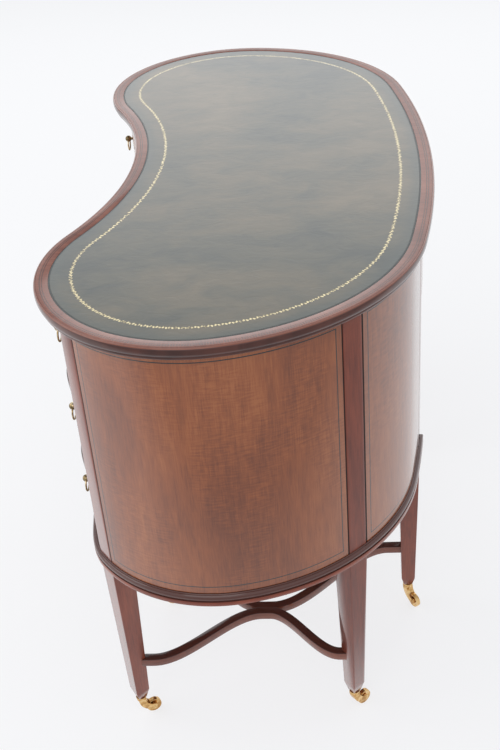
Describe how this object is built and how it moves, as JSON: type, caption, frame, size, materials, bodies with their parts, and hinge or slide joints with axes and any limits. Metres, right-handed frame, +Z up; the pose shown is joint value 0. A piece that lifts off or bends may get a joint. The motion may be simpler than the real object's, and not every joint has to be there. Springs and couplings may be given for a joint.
{
  "type": "kidney shaped pedestal writing desk",
  "caption": "Kidney shaped pedestal writing desk with leather top, curved drawers, ring pulls, tapered legs on castors and bowed stretchers.",
  "frame": {"origin": "on the floor under the middle of the top", "axes": "+X along the desk's length to the sitter's right when the front, which faces -Y, is looked at; +Y to the back; +Z up"},
  "size_m": [1.1598, 0.5657, 0.765],
  "materials": {
    "mahogany": "French polished figured mahogany, satin gloss",
    "dark_mahogany": "dark polished mahogany mouldings",
    "crossband": "polished cross-grained veneer with fine stringing",
    "drawer_mahogany": "polished outside, plain planed inside",
    "writing_leather": "worn olive green hide with a gilt tooled line",
    "brass": "polished"
  },
  "bodies": {
    "desk": {"top_board": "dark_mahogany", "crossband": "crossband", "leather_skiver": "writing_leather", "right_outer_front_leg": "mahogany", "right_outer_back_leg": "mahogany", "right_knee_back_leg": "mahogany", "right_knee_front_leg": "mahogany", "right_end_panel": "mahogany", "right_back_panel": "mahogany", "right_base_board": "dark_mahogany", "right_drawer_carcase": "dark_mahogany", "right_stretchers": "dark_mahogany", "left_outer_front_leg": "mahogany", "left_outer_back_leg": "mahogany", "left_knee_back_leg": "mahogany", "left_knee_front_leg": "mahogany", "left_end_panel": "mahogany", "left_back_panel": "mahogany", "left_base_board": "dark_mahogany", "left_drawer_carcase": "dark_mahogany", "left_stretchers": "dark_mahogany", "centre_drawer_frame": "dark_mahogany", "back_apron": "mahogany"},
    "right_bottom_drawer": {"right_bottom_drawer": "drawer_mahogany", "right_bottom_drawer_pull_post": "brass"},
    "right_middle_drawer": {"right_middle_drawer": "drawer_mahogany", "right_middle_drawer_pull_post": "brass"},
    "right_top_drawer": {"right_top_drawer": "drawer_mahogany", "right_top_drawer_pull_post": "brass"},
    "left_bottom_drawer": {"left_bottom_drawer": "drawer_mahogany", "left_bottom_drawer_pull_post": "brass"},
    "left_middle_drawer": {"left_middle_drawer": "drawer_mahogany", "left_middle_drawer_pull_post": "brass"},
    "left_top_drawer": {"left_top_drawer": "drawer_mahogany", "left_top_drawer_pull_post": "brass"},
    "centre_drawer": {"centre_drawer": "drawer_mahogany", "centre_drawer_pull_post": "brass"},
    "right_bottom_drawer_pull_ring": {"right_bottom_drawer_pull_ring": "brass"},
    "right_middle_drawer_pull_ring": {"right_middle_drawer_pull_ring": "brass"},
    "right_top_drawer_pull_ring": {"right_top_drawer_pull_ring": "brass"},
    "left_bottom_drawer_pull_ring": {"left_bottom_drawer_pull_ring": "brass"},
    "left_middle_drawer_pull_ring": {"left_middle_drawer_pull_ring": "brass"},
    "left_top_drawer_pull_ring": {"left_top_drawer_pull_ring": "brass"},
    "centre_drawer_pull_ring": {"centre_drawer_pull_ring": "brass"},
    "right_outer_front_castor_fork": {"right_outer_front_castor_fork": "brass"},
    "right_outer_front_castor_wheel": {"right_outer_front_castor_wheel": "brass"},
    "right_outer_back_castor_fork": {"right_outer_back_castor_fork": "brass"},
    "right_outer_back_castor_wheel": {"right_outer_back_castor_wheel": "brass"},
    "right_knee_back_castor_fork": {"right_knee_back_castor_fork": "brass"},
    "right_knee_back_castor_wheel": {"right_knee_back_castor_wheel": "brass"},
    "right_knee_front_castor_fork": {"right_knee_front_castor_fork": "brass"},
    "right_knee_front_castor_wheel": {"right_knee_front_castor_wheel": "brass"},
    "left_outer_front_castor_fork": {"left_outer_front_castor_fork": "brass"},
    "left_outer_front_castor_wheel": {"left_outer_front_castor_wheel": "brass"},
    "left_outer_back_castor_fork": {"left_outer_back_castor_fork": "brass"},
    "left_outer_back_castor_wheel": {"left_outer_back_castor_wheel": "brass"},
    "left_knee_back_castor_fork": {"left_knee_back_castor_fork": "brass"},
    "left_knee_back_castor_wheel": {"left_knee_back_castor_wheel": "brass"},
    "left_knee_front_castor_fork": {"left_knee_front_castor_fork": "brass"},
    "left_knee_front_castor_wheel": {"left_knee_front_castor_wheel": "brass"}
  },
  "joints": [
    {"name": "right_bottom_drawer_slide", "type": "slide", "parent": "desk", "child": "right_bottom_drawer", "axis": [0, -1, 0], "range_m": [0, 0.22]},
    {"name": "right_middle_drawer_slide", "type": "slide", "parent": "desk", "child": "right_middle_drawer", "axis": [0, -1, 0], "range_m": [0, 0.22]},
    {"name": "right_top_drawer_slide", "type": "slide", "parent": "desk", "child": "right_top_drawer", "axis": [0, -1, 0], "range_m": [0, 0.22]},
    {"name": "left_bottom_drawer_slide", "type": "slide", "parent": "desk", "child": "left_bottom_drawer", "axis": [0, -1, 0], "range_m": [0, 0.22]},
    {"name": "left_middle_drawer_slide", "type": "slide", "parent": "desk", "child": "left_middle_drawer", "axis": [0, -1, 0], "range_m": [0, 0.22]},
    {"name": "left_top_drawer_slide", "type": "slide", "parent": "desk", "child": "left_top_drawer", "axis": [0, -1, 0], "range_m": [0, 0.22]},
    {"name": "centre_drawer_slide", "type": "slide", "parent": "desk", "child": "centre_drawer", "axis": [0, -1, 0], "range_m": [0, 0.2]},
    {"name": "right_bottom_drawer_ring_swing", "type": "hinge", "parent": "right_bottom_drawer", "child": "right_bottom_drawer_pull_ring", "pos_m": [0.355, -0.2673, 0.39887], "axis": [-1, 0, 0], "range_deg": [-22, 150]},
    {"name": "right_middle_drawer_ring_swing", "type": "hinge", "parent": "right_middle_drawer", "child": "right_middle_drawer_pull_ring", "pos_m": [0.355, -0.2673, 0.5346], "axis": [-1, 0, 0], "range_deg": [-22, 150]},
    {"name": "right_top_drawer_ring_swing", "type": "hinge", "parent": "right_top_drawer", "child": "right_top_drawer_pull_ring", "pos_m": [0.355, -0.2673, 0.67033], "axis": [-1, 0, 0], "range_deg": [-22, 150]},
    {"name": "left_bottom_drawer_ring_swing", "type": "hinge", "parent": "left_bottom_drawer", "child": "left_bottom_drawer_pull_ring", "pos_m": [-0.355, -0.2673, 0.39887], "axis": [-1, 0, 0], "range_deg": [-22, 150]},
    {"name": "left_middle_drawer_ring_swing", "type": "hinge", "parent": "left_middle_drawer", "child": "left_middle_drawer_pull_ring", "pos_m": [-0.355, -0.2673, 0.5346], "axis": [-1, 0, 0], "range_deg": [-22, 150]},
    {"name": "left_top_drawer_ring_swing", "type": "hinge", "parent": "left_top_drawer", "child": "left_top_drawer_pull_ring", "pos_m": [-0.355, -0.2673, 0.67033], "axis": [-1, 0, 0], "range_deg": [-22, 150]},
    {"name": "centre_drawer_ring_swing", "type": "hinge", "parent": "centre_drawer", "child": "centre_drawer_pull_ring", "pos_m": [0, -0.1833, 0.67033], "axis": [-1, 0, 0], "range_deg": [-22, 150]},
    {"name": "right_outer_front_castor_swivel", "type": "hinge", "parent": "desk", "child": "right_outer_front_castor_fork", "pos_m": [0.47162, -0.21053, 0.041], "axis": [0, 0, 1], "continuous": true},
    {"name": "right_outer_front_wheel_spin", "type": "hinge", "parent": "right_outer_front_castor_fork", "child": "right_outer_front_castor_wheel", "pos_m": [0.46351, -0.1939, 0.0125], "axis": [0.8988, 0.4384, 0], "continuous": true},
    {"name": "right_outer_back_castor_swivel", "type": "hinge", "parent": "desk", "child": "right_outer_back_castor_fork", "pos_m": [0.46252, 0.13528, 0.041], "axis": [0, 0, 1], "continuous": true},
    {"name": "right_outer_back_wheel_spin", "type": "hinge", "parent": "right_outer_back_castor_fork", "child": "right_outer_back_castor_wheel", "pos_m": [0.45014, 0.14903, 0.0125], "axis": [0.7431, 0.6691, 0], "continuous": true},
    {"name": "right_knee_back_castor_swivel", "type": "hinge", "parent": "desk", "child": "right_knee_back_castor_fork", "pos_m": [0.217, 0.2353, 0.041], "axis": [0, 0, 1], "continuous": true},
    {"name": "right_knee_back_wheel_spin", "type": "hinge", "parent": "right_knee_back_castor_fork", "child": "right_knee_back_castor_wheel", "pos_m": [0.23215, 0.24591, 0.0125], "axis": [0.5736, -0.8192, 0], "continuous": true},
    {"name": "right_knee_front_castor_swivel", "type": "hinge", "parent": "desk", "child": "right_knee_front_castor_fork", "pos_m": [0.217, -0.20788, 0.041], "axis": [0, 0, 1], "continuous": true},
    {"name": "right_knee_front_wheel_spin", "type": "hinge", "parent": "right_knee_front_castor_fork", "child": "right_knee_front_castor_wheel", "pos_m": [0.217, -0.18938, 0.0125], "axis": [1, 0, 0], "continuous": true},
    {"name": "left_outer_front_castor_swivel", "type": "hinge", "parent": "desk", "child": "left_outer_front_castor_fork", "pos_m": [-0.47162, -0.21053, 0.041], "axis": [0, 0, 1], "continuous": true},
    {"name": "left_outer_front_wheel_spin", "type": "hinge", "parent": "left_outer_front_castor_fork", "child": "left_outer_front_castor_wheel", "pos_m": [-0.46351, -0.1939, 0.0125], "axis": [0.8988, -0.4384, 0], "continuous": true},
    {"name": "left_outer_back_castor_swivel", "type": "hinge", "parent": "desk", "child": "left_outer_back_castor_fork", "pos_m": [-0.46252, 0.13528, 0.041], "axis": [0, 0, 1], "continuous": true},
    {"name": "left_outer_back_wheel_spin", "type": "hinge", "parent": "left_outer_back_castor_fork", "child": "left_outer_back_castor_wheel", "pos_m": [-0.45014, 0.14903, 0.0125], "axis": [0.7431, -0.6691, 0], "continuous": true},
    {"name": "left_knee_back_castor_swivel", "type": "hinge", "parent": "desk", "child": "left_knee_back_castor_fork", "pos_m": [-0.217, 0.2353, 0.041], "axis": [0, 0, 1], "continuous": true},
    {"name": "left_knee_back_wheel_spin", "type": "hinge", "parent": "left_knee_back_castor_fork", "child": "left_knee_back_castor_wheel", "pos_m": [-0.23215, 0.24591, 0.0125], "axis": [0.5736, 0.8192, 0], "continuous": true},
    {"name": "left_knee_front_castor_swivel", "type": "hinge", "parent": "desk", "child": "left_knee_front_castor_fork", "pos_m": [-0.217, -0.20788, 0.041], "axis": [0, 0, 1], "continuous": true},
    {"name": "left_knee_front_wheel_spin", "type": "hinge", "parent": "left_knee_front_castor_fork", "child": "left_knee_front_castor_wheel", "pos_m": [-0.217, -0.18938, 0.0125], "axis": [1, 0, 0], "continuous": true}
  ]
}
